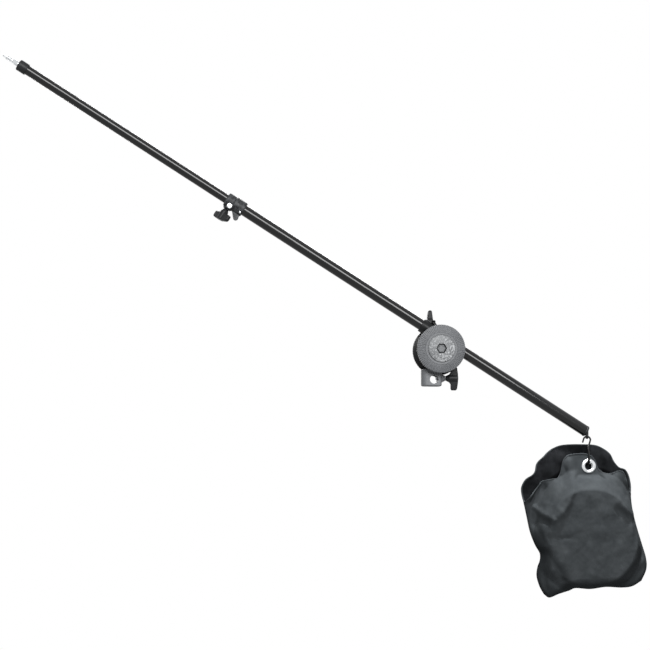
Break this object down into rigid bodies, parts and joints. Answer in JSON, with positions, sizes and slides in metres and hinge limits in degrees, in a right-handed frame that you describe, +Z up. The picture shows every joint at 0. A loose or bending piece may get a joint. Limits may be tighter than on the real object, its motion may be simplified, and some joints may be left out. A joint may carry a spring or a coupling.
{
  "type": "overhead boom arm",
  "caption": "Telescopic boom arm that tilts and slides in a ribbed-disc clamp on a stand socket, locked by T-knobs, with a lamp stud at its tip and a hooked-on weight bag at its tail.",
  "frame": {"origin": "centre of the mouth of the vertical stand socket, in the plane of the receiver block's flat underside", "axes": "+Z up along the stand socket, +X level towards the weight bag's end of the boom, +Y away from the ribbed front disc, along the tilt axis; the boom lies in the plane Y = 0"},
  "size_m": [1.2931, 0.1014, 1.0727],
  "materials": {
    "grey_cast": "satin grey powder coat on a die casting, bare on the ribs' edges",
    "pale_plate": "pale grey blasted face plate",
    "bolt_steel": "zinc-plated steel hexagon bolt, dulled",
    "fibre": "pressed friction fibre",
    "black_cast": "semi-gloss black paint on a die casting",
    "black_tube": "gloss black anodised aluminium tube",
    "black_plastic": "satin black moulded plastic",
    "zinc": "bright zinc-plated steel",
    "chrome": "polished chrome plate",
    "collar_cast": "dark grey paint on a die casting",
    "black_wire": "black phosphated steel wire",
    "nylon": "coated black nylon, slightly shiny",
    "ballast_cover": "sand filling a stitched black cloth pouch"
  },
  "bodies": {
    "head": {"head_casting": "grey_cast", "disc_face_plate": "pale_plate", "pivot_bolt": "bolt_steel", "front_friction_washer": "fibre", "rear_friction_washer": "fibre", "rear_disc": "black_cast", "rear_washer": "zinc"},
    "tilt_knob": {"tilt_knob": "black_plastic", "tilt_knob_nut": "zinc"},
    "stand_knob": {"stand_knob": "black_plastic", "stand_knob_screw": "zinc"},
    "clamp": {"clamp_casting": "black_cast", "clamp_nut": "zinc", "clamp_washer": "zinc"},
    "clamp_knob": {"clamp_knob": "black_plastic", "clamp_knob_screw": "zinc"},
    "boom": {"outer_tube": "black_tube", "collar": "collar_cast", "collar_side_screw": "chrome", "collar_brake_shoe": "fibre", "rear_cap": "black_plastic"},
    "collar_knob": {"collar_knob": "black_plastic", "collar_knob_screw": "zinc"},
    "inner_boom": {"inner_tube": "black_tube", "inner_tube_bush": "black_plastic", "tip_cap": "black_plastic", "tip_stud": "chrome"},
    "hook": {"s_hook": "black_wire"},
    "bag": {"weight_bag": "nylon", "front_grommet": "chrome", "rear_grommet": "chrome", "ballast_pouch": "ballast_cover"}
  },
  "joints": [
    {"name": "boom_tilt", "type": "hinge", "parent": "head", "child": "clamp", "pos_m": [0.0119, 0, 0.0728], "axis": [0, 1, 0], "range_deg": [-47.5, 22.5]},
    {"name": "tilt_knob_turn", "type": "hinge", "parent": "head", "child": "tilt_knob", "pos_m": [0.0119, 0.03, 0.0728], "axis": [0, 1, 0], "range_deg": [0, 360]},
    {"name": "stand_knob_turn", "type": "hinge", "parent": "head", "child": "stand_knob", "pos_m": [0.0247, 0, 0.016], "axis": [1, 0, 0], "range_deg": [0, 360]},
    {"name": "clamp_knob_turn", "type": "hinge", "parent": "clamp", "child": "clamp_knob", "pos_m": [0.00077, 0.0286, 0.12668], "axis": [0, 1, 0], "range_deg": [0, 360]},
    {"name": "boom_slide", "type": "slide", "parent": "clamp", "child": "boom", "axis": [0.8439, 0, -0.5366], "range_m": [-0.1, 0.4]},
    {"name": "collar_knob_turn", "type": "hinge", "parent": "boom", "child": "collar_knob", "pos_m": [-0.41395, 0, 0.35057], "axis": [-0.5366, 0, -0.8439], "range_deg": [0, 360]},
    {"name": "tube_extend", "type": "slide", "parent": "boom", "child": "inner_boom", "axis": [0.8439, 0, -0.5366], "range_m": [0, 0.465]},
    {"name": "hook_swing", "type": "hinge", "parent": "boom", "child": "hook", "pos_m": [0.31073, 0, -0.10572], "axis": [0, 1, 0], "range_deg": [-22.5, 47.5]},
    {"name": "bag_sway", "type": "hinge", "parent": "hook", "child": "bag", "pos_m": [0.31253, 0, -0.14412], "axis": [1, 0, 0], "range_deg": [-15, 8]}
  ]
}
